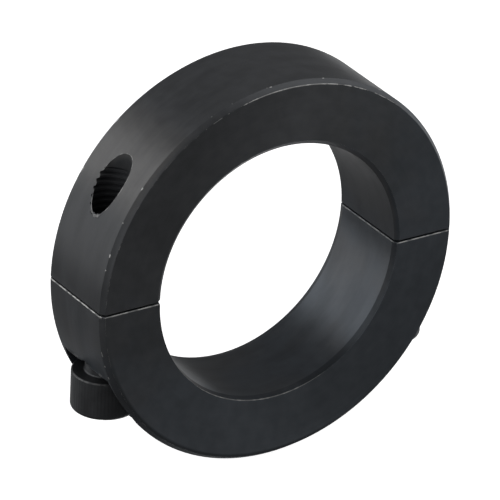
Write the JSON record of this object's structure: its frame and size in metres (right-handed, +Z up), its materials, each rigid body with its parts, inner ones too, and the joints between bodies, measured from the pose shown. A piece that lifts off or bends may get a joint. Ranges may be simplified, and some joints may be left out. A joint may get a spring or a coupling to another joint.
{
  "type": "shaft collar",
  "caption": "Split clamping shaft collar: two half rings drawn together around a shaft by socket head cap screws on either side of the bore.",
  "frame": {"origin": "centre of the bore, half way between the two faces", "axes": "+Y along the bore from the front face to the back face, +Z up across the split from the counterbored half to the tapped half, +X to the right when looking along +Y"},
  "size_m": [0.06, 0.015, 0.06],
  "materials": {
    "collar_steel": "black oxide on turned steel, satin, worn bright along the edges",
    "screw_steel": "black oxide alloy steel, satin"
  },
  "bodies": {
    "lower_half": {"clamp_half_lower": "collar_steel"},
    "upper_half": {"clamp_half_upper": "collar_steel"},
    "left_screw": {"clamp_screw_left": "screw_steel"},
    "right_screw": {"clamp_screw_right": "screw_steel"}
  },
  "joints": [
    {"name": "upper_half_lift", "type": "slide", "parent": "lower_half", "child": "upper_half", "axis": [0, 0, 1], "range_m": [-0.0003, 0.006]},
    {"name": "left_screw_turn", "type": "hinge", "parent": "lower_half", "child": "left_screw", "pos_m": [-0.0244, 0, -0.0131], "axis": [0, 0, -1], "range_deg": [-108, 2160]},
    {"name": "right_screw_turn", "type": "hinge", "parent": "lower_half", "child": "right_screw", "pos_m": [0.0244, 0, -0.0131], "axis": [0, 0, -1], "range_deg": [-108, 2160]}
  ],
  "couplings": [
    {"joint": "left_screw_turn", "follows": "upper_half_lift", "rad_per_m": 6283.2},
    {"joint": "right_screw_turn", "follows": "upper_half_lift", "rad_per_m": 6283.2}
  ]
}
